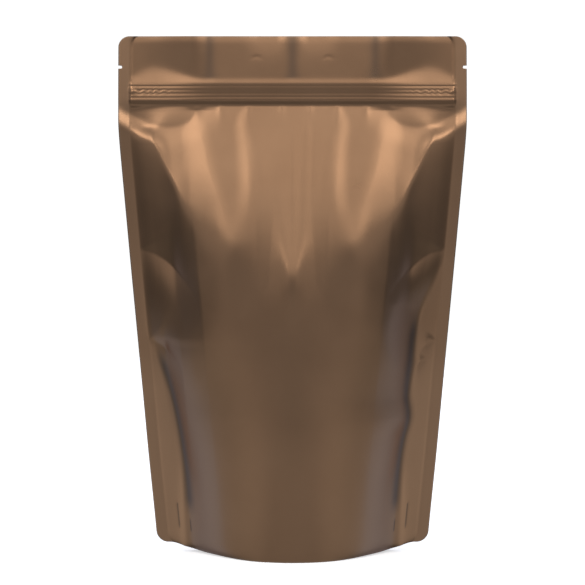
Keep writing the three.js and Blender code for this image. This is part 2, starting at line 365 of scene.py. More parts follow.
def dent(inset, z, tip_inset, tip_z, bend, depth, deepest, end, above, below):
    """How far one dent pulls the wall in."""
    away = np.maximum(0, inset - tip_inset)
    off = (z - tip_z + bend * away**2) / np.hypot(1, 2 * bend * away)
    size = depth * np.maximum(0, soft_min(away / deepest, (end - away) / (end - deepest), DENT_ROUND))
    lip = np.maximum(0, off) / (above * away + DENT_LIP)
    up = (1 - smooth(DENT_CREST, 1, lip)) / (1 - smooth(DENT_CREST, 1, 0))
    down = np.exp(np.minimum(0, off) / below)
    return size * up * down


# Folds that spread from points on the zip, each a step up towards the centre: path of the step as
# (height, x), rise, and width on the outer and inner side
OUTER_PATH = [
    (180, -37),
    (192, -38.5),
    (201, -40.5),
    (213, -45),
    (226, -49),
    (238, -51),
    (247, -54),
    (ZIP_FOOT, -56),
]
INNER_PATH = [
    (180, -29),
    (192, -27),
    (201, -25.5),
    (213, -25),
    (238, -27),
    (252, -29.5),
    (ZIP_FOOT, -28.5),
]
RIGHT_PATH = [(184, 6), (213, 8), (238, 9.3), (252, 9), (ZIP_FOOT, 6)]
FOLDS = [(OUTER_PATH, 1.8, 16, 9), (INNER_PATH, 1.6, 9, 9)]
RIGHT_FOLD = (RIGHT_PATH, 0.5, 5, 4)
# Noses that stand out on the body where the folds end: x, width, rise
NOSES = [(0, 7, 2.6), (-40, 9, 1.2)]
NOSE_LOW = 120
NOSE_HIGH = 172
# A shallow trough down the middle, which fades out upwards
TROUGH_WIDTH = 7
TROUGH_DEPTH = 0.6
TROUGH_LOW = 180
# The folds fade towards the centre, start below the zip, end between two heights, and are
# narrower at the zip.
FOLD_RELAX = 25
FOLD_START = 20
FOLD_LOW = 165
FOLD_HIGH = 225
FOLD_SPREAD = 14
FOLD_PINCH = 0.15
# Hanging scoops below the ends of the zip: x, half width, drop, depth, breadth of the rim
SCOOP = (-72.7, 17, 12.5, 0.9, 0.6)
SCOOP_START = 3


def fold(x, z, path, rise, outer, inner):
    """Rise of one fold, whose step follows its path down from the zip."""
    below = np.maximum(0, ZIP_FOOT - z)
    spread = mix(FOLD_PINCH, 1, 1 - np.exp(-below / FOLD_SPREAD))
    height = rise * (1 - np.exp(-below / FOLD_START)) * smooth(FOLD_LOW, FOLD_HIGH, z)
    off = x - track(path, z)
    relax = np.exp(-np.maximum(off, 0) / FOLD_RELAX)
    return height * smooth(-outer * spread, inner * spread, off) * relax


def noses(x, z):
    relief = sum(rise * bump(-np.abs(x) - place, width) for place, width, rise in NOSES)
    return relief * smooth(NOSE_LOW, NOSE_HIGH, z)


# Small puckers that hang from the zip: x
PUCKERS = [-55.8, -41.8, -25.4, -6.1, 10.3, 26.1, 43.1, 58.3]
PUCKER_WIDTH = 1.5
PUCKER_SPREAD = 0.12
PUCKER_START = 1
PUCKER_RISE = 0.3
PUCKER_LENGTH = 5


def puckers(x, z):
    below = np.maximum(0, ZIP_FOOT - z)
    ribs = sum(bump(x - place, PUCKER_WIDTH + PUCKER_SPREAD * below) for place in PUCKERS)
    return PUCKER_RISE * ribs * np.exp(-below / PUCKER_LENGTH) * smooth(0, PUCKER_START, below)


def scoop(x, z):
    place, wide, drop, depth, breadth = SCOOP
    round_it = np.hypot((-np.abs(x) - place) / wide, (ZIP_FOOT - z) / drop)
    hollow = depth * np.where(round_it < 1, round_it**2, bump(round_it - 1, breadth))
    return hollow * smooth(0, SCOOP_START, ZIP_FOOT - z)


def fans(x, z):
    """The folds of the left half, their mirror images, and a small one right of the centre."""
    sides = sum(fold(-np.abs(x), z, *one) for one in FOLDS)
    path, rise, outer, inner = RIGHT_FOLD
    mirrored = [(height, -place) for height, place in path]
    small = fold(-np.maximum(x, 0), z, mirrored, rise, outer, inner)
    trough = TROUGH_DEPTH * bump(x, TROUGH_WIDTH) * (1 - smooth(TROUGH_LOW, FOLD_HIGH, z))
    return sides + small + puckers(x, z) - trough - scoop(x, z)


# The zip and flap lean back.
LEAN = 0.135
LEAN_START = ZIP_FOOT + 1
LEAN_SOFTNESS = 1.5
# Between the outer of three upright folds the flap leans back a little less.
FORWARD_SLOPE = 0.04
FOLD_SPACING = 48.2
FOLD_DEPTH = 0.1
FOLD_WIDTH = 3
FOLD_RISE = 3
# Below the diagonals from the folds to the corners the flap leans back further.
FLARE_SLOPE = 0.22
FLARE_SHARP = 0.5
FLARE_SOFT = 1.7
FLARE_LOW = 1.6
FLARE_HIGH = 8
FLARE_FULL = 80
FLARE_END = 100
# Above them it leans forward, in the shade.
DIM_SLOPE = 0.08
DIM_START = 60
DIM_FULL = 66
DIM_END = 92
# Beside the middle fold, between these distances, the top edge leans further back.
PATCH_SLOPE = 0.11
PATCH_HEIGHT = 8
PATCH_SOFTNESS = 3
PATCH_INNER = (1, 10)
PATCH_OUTER = (17, 31)
# The whole top edge curls back.
CURL_SLOPE = 0.12
CURL_HEIGHT = 3
CURL_SOFTNESS = 0.6
# Small crescent dents: distance from the centre, height above the zip, radius and depth, then
# their breadth and the heights of their ends, both as shares of the radius
CRESCENT = (20.9, 13, 2.2, 0.1)
CRESCENT_BREADTH = 0.35
CRESCENT_ENDS = (-0.2, 0.6)


def flap_relief(x, z):
    """Outward relief of the flap above the zip."""
    side = np.abs(x)
    up = np.maximum(0, z - ZIP_TOP)
    top = HEIGHT - z
    folds = bump(x, FOLD_WIDTH) + bump(side - FOLD_SPACING, FOLD_WIDTH)
    relief = FORWARD_SLOPE * up * (1 - smooth(FOLD_SPACING, FLARE_END, side))
    relief = relief - FOLD_DEPTH * folds * smooth(0, FOLD_RISE, up)
    rising = smooth(FOLD_SPACING, FLARE_FULL, side) * (1 - smooth(FLARE_FULL, FLARE_END, side))
    diagonal = mix(FLARE_LOW, FLARE_HIGH, rising)
    softness = mix(FLARE_SHARP, FLARE_SOFT, rising)
    relief = relief - FLARE_SLOPE * (diagonal - soft_ramp(diagonal - up, softness))
    dim = smooth(FOLD_SPACING, DIM_START, side) * (1 - smooth(DIM_FULL, DIM_END, side))
    relief = relief + DIM_SLOPE * dim * soft_ramp(up - diagonal, softness)
    patch = smooth(*PATCH_INNER, side) * (1 - smooth(*PATCH_OUTER, side))
    relief = relief - PATCH_SLOPE * soft_ramp(PATCH_HEIGHT - top, PATCH_SOFTNESS) * patch
    away, height, radius, depth = CRESCENT
    ring = np.hypot(side - away, up - height) / radius
    arc = smooth(*CRESCENT_ENDS, (up - height) / radius)
    relief = relief - depth * bump(ring - 1, CRESCENT_BREADTH) * arc
    return relief - CURL_SLOPE * soft_ramp(CURL_HEIGHT - top, CURL_SOFTNESS)


# Below the zip the sealed sides kink forward along a slanting line, and come back further down:
# heights where the push is full and where it ends, push, slope, slant and top of the kink
KINK_LEVEL = 185
KINK_FADE = 85
KINK_PUSH = 3.6
KINK_TILT = 0.42
KINK_SHEAR = 0.6
KINK_TOP = 260.5
KINK_START = 1.2
KINK_INNER = 30
KINK_SOFTNESS = 0.5


def middle(inset, z):
    """The middle surface between the films, towards +Y."""
    lean = LEAN * soft_ramp(z - LEAN_START, LEAN_SOFTNESS)
    down = KINK_TILT * soft_ramp(KINK_TOP - z - KINK_SHEAR * inset, KINK_START)
    up = KINK_PUSH * smooth(KINK_FADE, KINK_LEVEL, z)
    push = np.maximum(0, soft_min(down, up, KINK_SOFTNESS))
    return lean - push * (1 - smooth(SEAL_WIDTH, KINK_INNER, inset))


def zip_relief(x, z):
    """Relief of the ribs of the zip, crinkled towards its ends."""
    up = np.minimum(z, ZIP_TOP) - ZIP_FOOT
    near_end = smooth(CRINKLE_INNER, CRINKLE_FULL, np.abs(x))
    uneven = CRINKLE_SWING * np.sin(2 * np.pi * x / CRINKLE_BEAT)
    wave = np.sin(2 * np.pi * x / CRINKLE_PITCH + uneven) * near_end
    up = up + CRINKLE_SHIFT * wave * bump(up - CRINKLE_HEIGHT, CRINKLE_REACH)
    ends = smooth(ENDS_START, ENDS_FULL, np.abs(x))
    relief = mix(track(ZIP_MIDDLE, up), track(ZIP_ENDS, up), ends)
    return relief * (1 - clamp01((z - ZIP_TOP) / (HEIGHT - ZIP_TOP)))


# How wide the edge of the side seal is beside the zip
SEAL_BLUR = 1


def panel_depth(x, inset, z):
    """Distance of the panel from the middle surface."""
    half = half_width(z)
    sealed = 1 - smooth(SEAL_WIDTH - SEAL_BLUR, SEAL_WIDTH + SEAL_BLUR, inset)
    away, up, radius, rise = CRUSH
    crushed = rise * bump(np.hypot(inset - away, z - ZIP_FOOT - up), radius)
    relief = zip_relief(x, z) * (1 - sealed) + crushed
    left = bulge(x, inset, half, z, LEFT_VALLEY, LEFT_STEEP)
    right = bulge(x, inset, half, z, RIGHT_VALLEY, RIGHT_STEEP)
    for one in LEFT_DENTS:
        left = left - np.minimum(DENT_LIMIT * left, dent(inset, z, *one))
    for one in RIGHT_DENTS:
        right = right - np.minimum(DENT_LIMIT * right, dent(inset, z, *one))
    body = np.where(x < 0, left, right)
    return FILM + np.where(z >= ZIP_FOOT, relief, body)


# A pressed line along the side seals
SEAL_LINE_DEPTH = 0.1
SEAL_LINE_WIDTH = 0.7
# Slits where the base is punched through: distance from the edge, bottom and top
SLITS = [(14.2, 11, 26), (21, 10.5, 17.5)]
SLIT_DEPTH = 0.12
SLIT_WIDTH = 0.4
SLIT_FADE = 1
# The slits also get painted shade in the film's colour.
SLIT_SHADE = 0.9


def slits(inset, row):
    """How strongly the slits show, from 0 to 1."""
    lines = 0
    for place, bottom, top in SLITS:
        started = smooth(bottom - SLIT_FADE, bottom + SLIT_FADE, row)
        ended = smooth(top - SLIT_FADE, top + SLIT_FADE, row)
        lines = lines + started * (1 - ended) * bump(inset - place, SLIT_WIDTH)
    return lines


def fine_lines(inset, row):
    """Depth of the seal line and the slits."""
    return SEAL_LINE_DEPTH * bump(inset - SEAL_WIDTH, SEAL_LINE_WIDTH) + SLIT_DEPTH * slits(inset, row)


def corner_lift(inset):
    near = CORNER_LIFT * (1 - smooth(CORNER_FLAT, CORNER_REACH, inset))
    return near + RIM_LIFT * (1 - smooth(RIM_START, RIM_REACH, inset))


def rim_roll(inset, row):
    across = smooth(ROLL_OUTER, ROLL_FULL, inset) * (1 - smooth(ROLL_FULL, ROLL_INNER, inset))
    return ROLL_DEPTH * across * np.exp(-row / ROLL_HEIGHT)


# How far inwards the columns make room for the cut corners and notches
CORNER_MARGIN = 16
NOTCH_MARGIN = 5
# Share of the depth that the rolled rim and fine lines may take
FINE_LIMIT = 0.7
# The flap's relief starts inside the side seals and just below the top of the zip.
FLAP_INSIDE = 2
FLAP_UNDER = 1


def panel_points(side, signs, insets, shares, rows):
    """Points of the front (side -1) or back (side 1) panel, rows by columns by 3."""
    row = rows[:, None]
    outer = half_width(row)
    inset = insets[None, :] + shares[None, :] * outer
    corner = corner_cut(row) * clamp01(1 - inset / CORNER_MARGIN)
    notch = notch_cut(row) * clamp01(1 - inset / NOTCH_MARGIN)
    x = signs[None, :] * (outer - inset - corner - notch)
    z = row + corner_lift(inset) * (1 - smooth(0, LIFT_FADE_HEIGHT, row))
    facing = x if side < 0 else -x
    height = np.broadcast_to(row, x.shape)
    depth = panel_depth(facing, inset, height)
    depth = depth - np.minimum(FINE_LIMIT * depth, rim_roll(inset, height) + fine_lines(inset, height))
    inside = smooth(SEAL_WIDTH, SEAL_WIDTH + FLAP_INSIDE, inset)
    flap = flap_relief(x, height) * inside * smooth(ZIP_TOP - FLAP_UNDER, ZIP_TOP, height)
    y = middle(inset, height) - flap + side * depth
    return np.stack([x, y, z], axis=-1)


# Painted shade along the creases of the lower valleys: their tops and foot, distance inwards from the
# valley, half width and the height they fade over
LEFT_CREASE_TOP = 122
RIGHT_CREASE_TOP = 142
CREASE_LOW = 18
CREASE_OFFSET = 1.8
CREASE_WIDTH = 2.6
CREASE_FADE = 14
# Width of the wear along the cut edges
EDGE_WEAR = 1.3
# The pressed seals are lighter beside the flap and where they widen near the base.
SEAL_FAINT = 0.4
SEAL_FADE = 10
SEAL_EDGE = 0.5
FIN_BLUR = 3
FIN_LOW = 95
FIN_HIGH = 140
# Shade is painted along the flap's folds, wider at their feet on the zip.
FOLD_SHADE = 0.62
FOLD_FOOT = 4
FOLD_FOOT_HEIGHT = 3
SHADE_START = 1
SHADE_FULL = 4


def panel_marks(side, signs, insets, shares, rows):
    """Wear of the cut edges, seal, and painted crease shade at each point of a panel, from 0 to 1."""
    row = rows[:, None]
    inset = insets[None, :] + shares[None, :] * half_width(row)
    on_left = np.broadcast_to(signs[None, :] * side > 0, inset.shape)
    to_edge = np.minimum(inset, np.minimum(row, HEIGHT - row))
    edge = clamp01(1 - to_edge / EDGE_WEAR)
    valley = np.where(on_left, track(LEFT_VALLEY, row), track(RIGHT_VALLEY, row))
    flat = 1 - smooth(SEAL_WIDTH - SEAL_EDGE, SEAL_WIDTH + SEAL_EDGE, inset)
    flat = flat * mix(SEAL_FAINT, 1, smooth(ZIP_FOOT - SEAL_FADE, ZIP_FOOT, row))
    fin = (1 - smooth(valley - FIN_BLUR, valley, inset)) * (1 - smooth(FIN_LOW, FIN_HIGH, row))
    seal = np.maximum(flat, fin)
    top = np.where(on_left, LEFT_CREASE_TOP, RIGHT_CREASE_TOP)
    along = smooth(CREASE_LOW, CREASE_LOW + CREASE_FADE, row) * (1 - smooth(top - CREASE_FADE, top, row))
    # Painted shade along the lower creases and the slits, then along the flap's folds
    crease_shade = bump(inset - valley - CREASE_OFFSET, CREASE_WIDTH) * along + SLIT_SHADE * slits(inset, row)
    off_centre = half_width(row) - inset
    wide = FOLD_WIDTH + FOLD_FOOT * np.exp(-np.maximum(0, row - ZIP_TOP) / FOLD_FOOT_HEIGHT)
    folds = bump(off_centre, wide) + bump(off_centre - FOLD_SPACING, wide)
    crease_shade = crease_shade + FOLD_SHADE * folds * smooth(ZIP_TOP + SHADE_START, ZIP_TOP + SHADE_FULL, row)
    return np.stack([np.broadcast_to(mark, inset.shape) for mark in (edge, seal, crease_shade)], axis=-1)


# Columns and rows of the front panel. The back takes every second one, so both are odd in number.
EDGE_ZONE = 38
EDGE_COLUMNS = 56
CENTRE_COLUMNS = 62
ROW_CHANGE = 110
LOWER_ROWS = 66
UPPER_ROWS = 152
ZIP_ROWS = 36
ROWS_BELOW_NOTCH = 8
ROWS_ABOVE_NOTCH = 13
ROUND_ROWS = 10
# Rows across the notch, in its radii, with more room around it
NOTCH_ROWS = np.array([-1.02, -1, -0.8, -0.45, 0, 0.45, 0.8, 1, 1.02])
NOTCH_ROOM = 2 * NOTCH_RADIUS
# Columns across each slit, in its widths
SLIT_COLUMNS = np.array([-1.5, -0.75, 0, 0.75, 1.5])


def columns():
    """Sign, fixed inset and share of the half width of each column, from left to right."""
    edge = np.linspace(0, EDGE_ZONE, EDGE_COLUMNS + 1)
    across = np.concatenate([place + SLIT_WIDTH * SLIT_COLUMNS for place, _, _ in SLITS])
    far = np.min(np.abs(edge[:, None] - across[None, :]), axis=1) > SLIT_WIDTH
    edge = np.sort(np.concatenate([edge[far], across]))
    if len(edge) % 2 == 0:
        edge = np.delete(edge, 1)
    share = np.linspace(0, 1, CENTRE_COLUMNS + 1)[1:]
    insets = np.concatenate([edge, EDGE_ZONE * (1 - share)])
    shares = np.concatenate([np.zeros_like(edge), share])
    left = np.full(len(insets), -1.0)
    return (
        np.concatenate([left, -left[:-1]]),
        np.concatenate([insets, insets[-2::-1]]),
        np.concatenate([shares, shares[-2::-1]]),
    )


def row_heights():
    """Heights of the rows, from the floor to the top edge."""
    turn = np.linspace(0, np.pi / 2, ROUND_ROWS + 1)
    low = CORNER_RADIUS * (1 - np.cos(turn))
    lower = np.linspace(CORNER_RADIUS, ROW_CHANGE, LOWER_ROWS + 1)[1:]
    upper = np.linspace(ROW_CHANGE, ZIP_FOOT, UPPER_ROWS + 1)[1:]
    zip_rows = np.linspace(ZIP_FOOT, ZIP_TOP, ZIP_ROWS + 1)[1:]
    notch = NOTCH_HEIGHT + NOTCH_RADIUS * NOTCH_ROWS
    top_corner = HEIGHT - CORNER_RADIUS
    below = np.linspace(ZIP_TOP, NOTCH_HEIGHT - NOTCH_ROOM, ROWS_BELOW_NOTCH + 1)[1:]
    above = np.linspace(NOTCH_HEIGHT + NOTCH_ROOM, top_corner, ROWS_ABOVE_NOTCH + 1)
    top = top_corner + CORNER_RADIUS * np.sin(turn[1:])
    rows = np.concatenate([low, lower, upper, zip_rows, below, notch, above, top])
    if len(rows) % 2 == 0:
        rows = np.delete(rows, len(rows) // 2)
    return rows


# Groove inside the front rim of the underside: share of the way to the back, share of its height
GROOVE = [(0.01, 0), (0.03, 0.5), (0.06, 1), (0.1, 0.9), (0.15, 0.6), (0.22, 0.2), (0.3, 0), (0.4, 0)]
UNDERSIDE = GROOVE + [(0.5, 0)] + [(1 - share, groove) for share, groove in GROOVE[::-1]]
GROOVE_HEIGHT = 2.8
# The folded pockets at its ends: height, where they lie, and how far their roof reaches to the rims
POCKET_HEIGHT = 24
POCKET_OUTER = 24
POCKET_INNER = 52
POCKET_REACH = 0.95


class Shell:
    """Collects points and faces of one closed mesh."""

    def __init__(self):
        self.points = []
        self.faces = []
        self.count = 0

    def add(self, grid):
        """Adds a grid of points and gives back their numbers."""
        flat = grid.reshape(-1, 3)
        numbers = np.arange(self.count, self.count + len(flat)).reshape(grid.shape[:-1])
        self.points.append(flat)
        self.count += len(flat)
        return numbers

    def sheet(self, numbers, flip):
        a = numbers[:-1, :-1]
        b = numbers[:-1, 1:]
        c = numbers[1:, 1:]
        d = numbers[1:, :-1]
        quads = np.stack([a, b, c, d], axis=-1).reshape(-1, 4)
        if flip:
            quads = quads[:, ::-1]
        self.faces += quads.tolist()

    def seam(self, fine, coarse, flip):
        """Joins a fine line to one with half as many steps."""
        for i in range(len(coarse) - 1):
            ring = [
                (fine[2 * i], fine[2 * i + 1], coarse[i]),
                (fine[2 * i + 1], coarse[i + 1], coarse[i]),
                (fine[2 * i + 1], fine[2 * i + 2], coarse[i + 1]),
            ]
            for face in ring:
                self.faces.append([int(n) for n in (face[::-1] if flip else face)])


def add_underside(shell, rim_front, rim_back, front_line, back_line):
    """Adds the underside between the two rims, on the columns of the back."""
    inset = half_width(0) - np.abs(rim_front[:, 0])
    opened = smooth(POCKET_OUTER, POCKET_INNER, inset)
    end = smooth(CORNER_MARGIN, POCKET_OUTER, inset) * (1 - opened)
    lines = []
    for share, groove in UNDERSIDE:
        line = mix(rim_front, rim_back, share)
        roof = clamp01(1 - abs(2 * share - 1) / POCKET_REACH)
        line[:, 2] += GROOVE_HEIGHT * groove * opened + POCKET_HEIGHT * roof * end
        lines.append(line[1:-1])
    inner = shell.add(np.stack(lines))
    first = np.concatenate([back_line[:1], inner[0], back_line[-1:]])
    shell.seam(front_line, first, True)
    grid = np.vstack([inner, back_line[1:-1][None, :]])
    shell.sheet(grid, True)
    for column, corner in ((0, back_line[0]), (-1, back_line[-1])):
        line = list(grid[:, column])
        for i in range(len(line) - 1):
            face = [int(line[i]), int(line[i + 1]), int(corner)]
            shell.faces.append(face if column == 0 else face[::-1])


def build_pouch():
    """The whole pouch as one closed mesh."""
    signs, insets, shares = columns()
    rows = row_heights()
    shell = Shell()
    front = panel_points(-1, signs, insets, shares, rows)
    back = panel_points(1, signs[::2], insets[::2], shares[::2], rows[::2])
    f = shell.add(front)
    b = shell.add(back)
    shell.sheet(f, False)
    shell.sheet(b, True)
    shell.seam(f[:, 0], b[:, 0], False)
    shell.seam(f[:, -1], b[:, -1], True)
    shell.seam(f[-1], b[-1], False)
    add_underside(shell, front[0, ::2], back[0], f[0], b[0])
    points = np.concatenate(shell.points) * MM
    mesh = bpy.data.meshes.new("pouch_film")
    mesh.from_pydata(points.tolist(), [], shell.faces)
    mesh.validate()
    mesh.shade_smooth()
    marks = np.zeros((len(points), 3))
    for numbers, side, step in ((f, -1, 1), (b, 1, 2)):
        marked = panel_marks(side, signs[::step], insets[::step], shares[::step], rows[::step])
        marks[numbers.ravel()] = marked.reshape(-1, 3)
    for i, name in enumerate(("edge", "seal", "crease_shade")):
        layer = mesh.attributes.new(name, "FLOAT", "POINT")
        layer.data.foreach_set("value", marks[:, i].astype(np.float32))
    piece = bpy.data.objects.new("pouch_film", mesh)
    bpy.context.scene.collection.objects.link(piece)
    return piece


class Nodes:
    """Makes and links shader nodes in one tree."""

    def __init__(self, tree):
        self.tree = tree

    def put(self, socket, value):
        if hasattr(value, "is_linked"):
            self.tree.links.new(value, socket)
        else:
            socket.default_value = value

    def mark(self, name):
        node = self.tree.nodes.new("ShaderNodeAttribute")
        node.attribute_name = name
        return node.outputs["Fac"]

    def math(self, kind, a, b):
        node = self.tree.nodes.new("ShaderNodeMath")
        node.operation = kind
        self.put(node.inputs[0], a)
        self.put(node.inputs[1], b)
        return node.outputs["Value"]

    def noise(self, where, size, detail):
        """Soft noise with features of about the given size in metres."""
        node = self.tree.nodes.new("ShaderNodeTexNoise")
        self.put(node.inputs["Vector"], where)
        node.inputs["Scale"].default_value = 1 / size
        node.inputs["Detail"].default_value = detail
        return node.outputs["Fac"]

    def spread(self, value, low, high, to_low, to_high):
        node = self.tree.nodes.new("ShaderNodeMapRange")
        self.put(node.inputs["Value"], value)
        node.inputs["From Min"].default_value = low
        node.inputs["From Max"].default_value = high
        node.inputs["To Min"].default_value = to_low
        node.inputs["To Max"].default_value = to_high
        return node.outputs["Result"]

    def ramp(self, value, stops):
        """Colours that change smoothly along a value from 0 to 1."""
        node = self.tree.nodes.new("ShaderNodeValToRGB")
        node.color_ramp.interpolation = "EASE"
        elements = node.color_ramp.elements
        for i, (place, colour) in enumerate(stops):
            stop = elements[i] if i < 2 else elements.new(place)
            stop.position = place
            stop.color = (*colour, 1)
        self.put(node.inputs["Fac"], value)
        return node.outputs["Color"]

    def blend(self, share, a, b):
        node = self.tree.nodes.new("ShaderNodeMix")
        node.data_type = "RGBA"
        self.put(node.inputs["Factor"], share)
        self.put(node.inputs["A"], a)
        self.put(node.inputs["B"], b)
        return node.outputs["Result"]

    def bump(self, height, strength, distance, normal):
        node = self.tree.nodes.new("ShaderNodeBump")
        node.inputs["Strength"].default_value = strength
        node.inputs["Distance"].default_value = distance
        self.put(node.inputs["Height"], height)
        if normal is not None:
            self.put(node.inputs["Normal"], normal)
        return node.outputs["Normal"]


FILM_DARK = (0.58, 0.322, 0.177, 1)
FILM_LIGHT = (0.62, 0.348, 0.193, 1)
FILM_PRESSED = (0.74, 0.425, 0.24, 1)
WORN_EDGE = (0.7, 0.47, 0.32, 1)
# Painted shade: the dark colour laid into the creases, the flap's folds and the slits
PAINTED_CREASE_SHADE = (0.24, 0.17, 0.125, 1)
# Sizes in metres of the cloudy tint, the grain and the small waves, and the relief of the last two
# as strength and height
CLOUD_SIZE = 0.03
GRAIN_SIZE = 0.0006
WAVE_SIZE = 0.012
GRAIN_RELIEF = (0.02, 0.0001)
WAVE_RELIEF = (0.06, 0.0008)
# The range of noise that is used for tint and roughness, and for scuffs
NOISE_RANGE = (0.3, 0.7)
SCUFF_RANGE = (0.35, 0.65)
# How strongly edges are scuffed, and how strongly shade is painted into the creases
SCUFF_SHARE = (0.15, 0.7)
CREASE_SHADE_SHARE = 0.85
# Roughness of the film, its change with the grain, and what seals and scuffs add
ROUGHNESS = (0.275, 0.305)
GRAIN_ROUGHNESS = (-0.002, 0.002)
SEAL_ROUGHNESS = 0.02
SCUFF_ROUGHNESS = 0.12


def film_material():
    """Satin metallised film: cloudy tint, fine grain, worn cut edges and painted shade in the creases.
    """
    material = bpy.data.materials.new("satin_film")
    material.use_nodes = True
    nodes = Nodes(material.node_tree)
    shader = material.node_tree.nodes["Principled BSDF"]
    where = material.node_tree.nodes.new("ShaderNodeTexCoord").outputs["Object"]
    clouds = nodes.noise(where, CLOUD_SIZE, 3)
    grain = nodes.noise(where, GRAIN_SIZE, 1)
    waves = nodes.noise(where, WAVE_SIZE, 2)
    edge = nodes.mark("edge")
    seal = nodes.mark("seal")
    crease_shade = nodes.mark("crease_shade")
    tint = nodes.blend(nodes.spread(clouds, *NOISE_RANGE, 0, 1), FILM_DARK, FILM_LIGHT)
    pressed = nodes.blend(seal, tint, FILM_PRESSED)
    # Painted shade darkens the film along the crease marks.
    crease_shaded = nodes.blend(nodes.math("MULTIPLY", crease_shade, CREASE_SHADE_SHARE), pressed, PAINTED_CREASE_SHADE)
    scuffed = nodes.math("MULTIPLY", edge, nodes.spread(waves, *SCUFF_RANGE, *SCUFF_SHARE))
    nodes.put(shader.inputs["Base Color"], nodes.blend(scuffed, crease_shaded, WORN_EDGE))
    cloudy = nodes.spread(clouds, *NOISE_RANGE, *ROUGHNESS)
    grainy = nodes.math("ADD", cloudy, nodes.spread(grain, *NOISE_RANGE, *GRAIN_ROUGHNESS))
    sealed = nodes.math("ADD", grainy, nodes.math("MULTIPLY", seal, SEAL_ROUGHNESS))
    rough = nodes.math("ADD", sealed, nodes.math("MULTIPLY", scuffed, SCUFF_ROUGHNESS))
    nodes.put(shader.inputs["Roughness"], rough)
    wavy = nodes.bump(waves, *WAVE_RELIEF, None)
    nodes.put(shader.inputs["Normal"], nodes.bump(grain, *GRAIN_RELIEF, wavy))
    shader.inputs["Metallic"].default_value = 1.0
    return material


pouch = build_pouch()
pouch.data.materials.append(film_material())
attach(pouch, "root")
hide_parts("pouch")


# Stage
def plane(name, corners, material):
    mesh = bpy.data.meshes.new(name)
    mesh.from_pydata(corners, [], [(0, 1, 2, 3)])
    obj = bpy.data.objects.new(name, mesh)
    obj.data.materials.append(material)
    bpy.context.scene.collection.objects.link(obj)
    return obj


FLOOR_FRONT = -0.27
FLOOR_BACK = 1.2
FLOOR_SIDE = 1.2


def floor_material():
    material = bpy.data.materials.new("white_floor")
    material.use_nodes = True
    shader = material.node_tree.nodes["Principled BSDF"]
    shader.inputs["Base Color"].default_value = (0.9, 0.9, 0.9, 1)
    shader.inputs["Roughness"].default_value = 0.9
    shader.inputs["Emission Color"].default_value = (1, 1, 1, 1)
    shader.inputs["Emission Strength"].default_value = 0.6
    return material


floor = plane(
    "floor",
    [
        (-FLOOR_SIDE, FLOOR_FRONT, 0),
        (FLOOR_SIDE, FLOOR_FRONT, 0),
        (FLOOR_SIDE, FLOOR_BACK, 0),
        (-FLOOR_SIDE, FLOOR_BACK, 0),
    ],
    floor_material(),
)
floor.visible_glossy = False


def softbox(name, place, target, width, height, power, colour):
    data = bpy.data.lights.new(name, "AREA")
    data.shape = "RECTANGLE"
    data.size = width
    data.size_y = height
    data.energy = power
    data.color = colour
    obj = bpy.data.objects.new(name, data)
    obj.location = place
    direction = Vector(target) - Vector(place)
    obj.rotation_euler = direction.to_track_quat("-Z", "Y").to_euler()
    bpy.context.scene.collection.objects.link(obj)
    return obj


# The place that the softboxes look at
AIM = (0, 0, 0.18)


def softbox_at(name, azimuth, elevation, distance, width, height, radiance, colour):
    """A softbox seen from the pouch at an azimuth (0 is the front) and elevation in degrees."""
    a = math.radians(azimuth)
    e = math.radians(elevation)
    towards = Vector((math.sin(a) * math.cos(e), -math.cos(a) * math.cos(e), math.sin(e)))
    place = Vector(AIM) + distance * towards
    return softbox(name, place, AIM, width, height, radiance * math.pi * width * height, colour)


WARM = (1, 0.98, 0.95)
# Softboxes: name, azimuth, elevation, distance, width, height and radiance
SOFTBOXES = [
    ("key_left", -28, 44, 1.5, 0.45, 0.6, 1.3),
    ("key_right", 28, 44, 1.5, 0.45, 0.6, 1.3),
    ("overhead", 0, 45, 1.4, 1.3, 1.0, 0.22),
    ("rear_left", -152, 44, 1.5, 0.45, 0.6, 1.0),
    ("rear_right", 152, 44, 1.5, 0.45, 0.6, 1.0),
]
for one in SOFTBOXES:
    softbox_at(*one, WARM)
# Cards beside the belly, in strips that grow dimmer upwards: bottom, top and radiance
CARD_STRIPS = [
    (-0.06, 0.035, 0.2),
    (0.035, 0.06, 0.17),
    (0.06, 0.085, 0.13),
    (0.085, 0.105, 0.085),
    (0.105, 0.125, 0.04),
]
# Distance of the cards from the middle
CARD_SIDE = 0.17
# The front of each card is neutral and fades out, the part beside the pouch is blue:
# front, rear, strength, colour
CARD_FRONT = (0.9, 0.95, 1)
CARD_BLUE = (0.5, 0.66, 1)
CARD_PARTS = [
    (-0.37, -0.29, 0.2, CARD_FRONT),
    (-0.29, -0.22, 0.5, CARD_FRONT),
    (-0.22, -0.16, 0.8, CARD_FRONT),
    (-0.16, -0.03, 1, CARD_FRONT),
    (-0.03, 0.015, 1.9, CARD_BLUE),
]


def side_card(name, side, strip, part):
    bottom, top, radiance = strip
    front, rear, strength, colour = part
    place = Vector((CARD_SIDE * side, (front + rear) / 2, (bottom + top) / 2))
    wide = rear - front
    tall = top - bottom
    power = radiance * strength * math.pi * wide * tall
    card = softbox(name, place, place - Vector((side, 0, 0)), wide, tall, power, colour)
    card.visible_camera = False


for i, strip in enumerate(CARD_STRIPS):
    for j, part in enumerate(CARD_PARTS):
        side_card(f"card_left_{i}_{j}", -1, strip, part)
        side_card(f"card_right_{i}_{j}", 1, strip, part)
# A light above for the floor alone, which the film doesn't mirror
FLOOR_LIGHT_PLACE = (0, 0, 2.2)
FLOOR_LIGHT_SIZE = 2.0
FLOOR_LIGHT_POWER = 30
floor_light = softbox(
    "floor_light",
    FLOOR_LIGHT_PLACE,
    (0, 0, 0),
    FLOOR_LIGHT_SIZE,
    FLOOR_LIGHT_SIZE,
    FLOOR_LIGHT_POWER,
    (1, 1, 1),
)
floor_light.visible_glossy = False

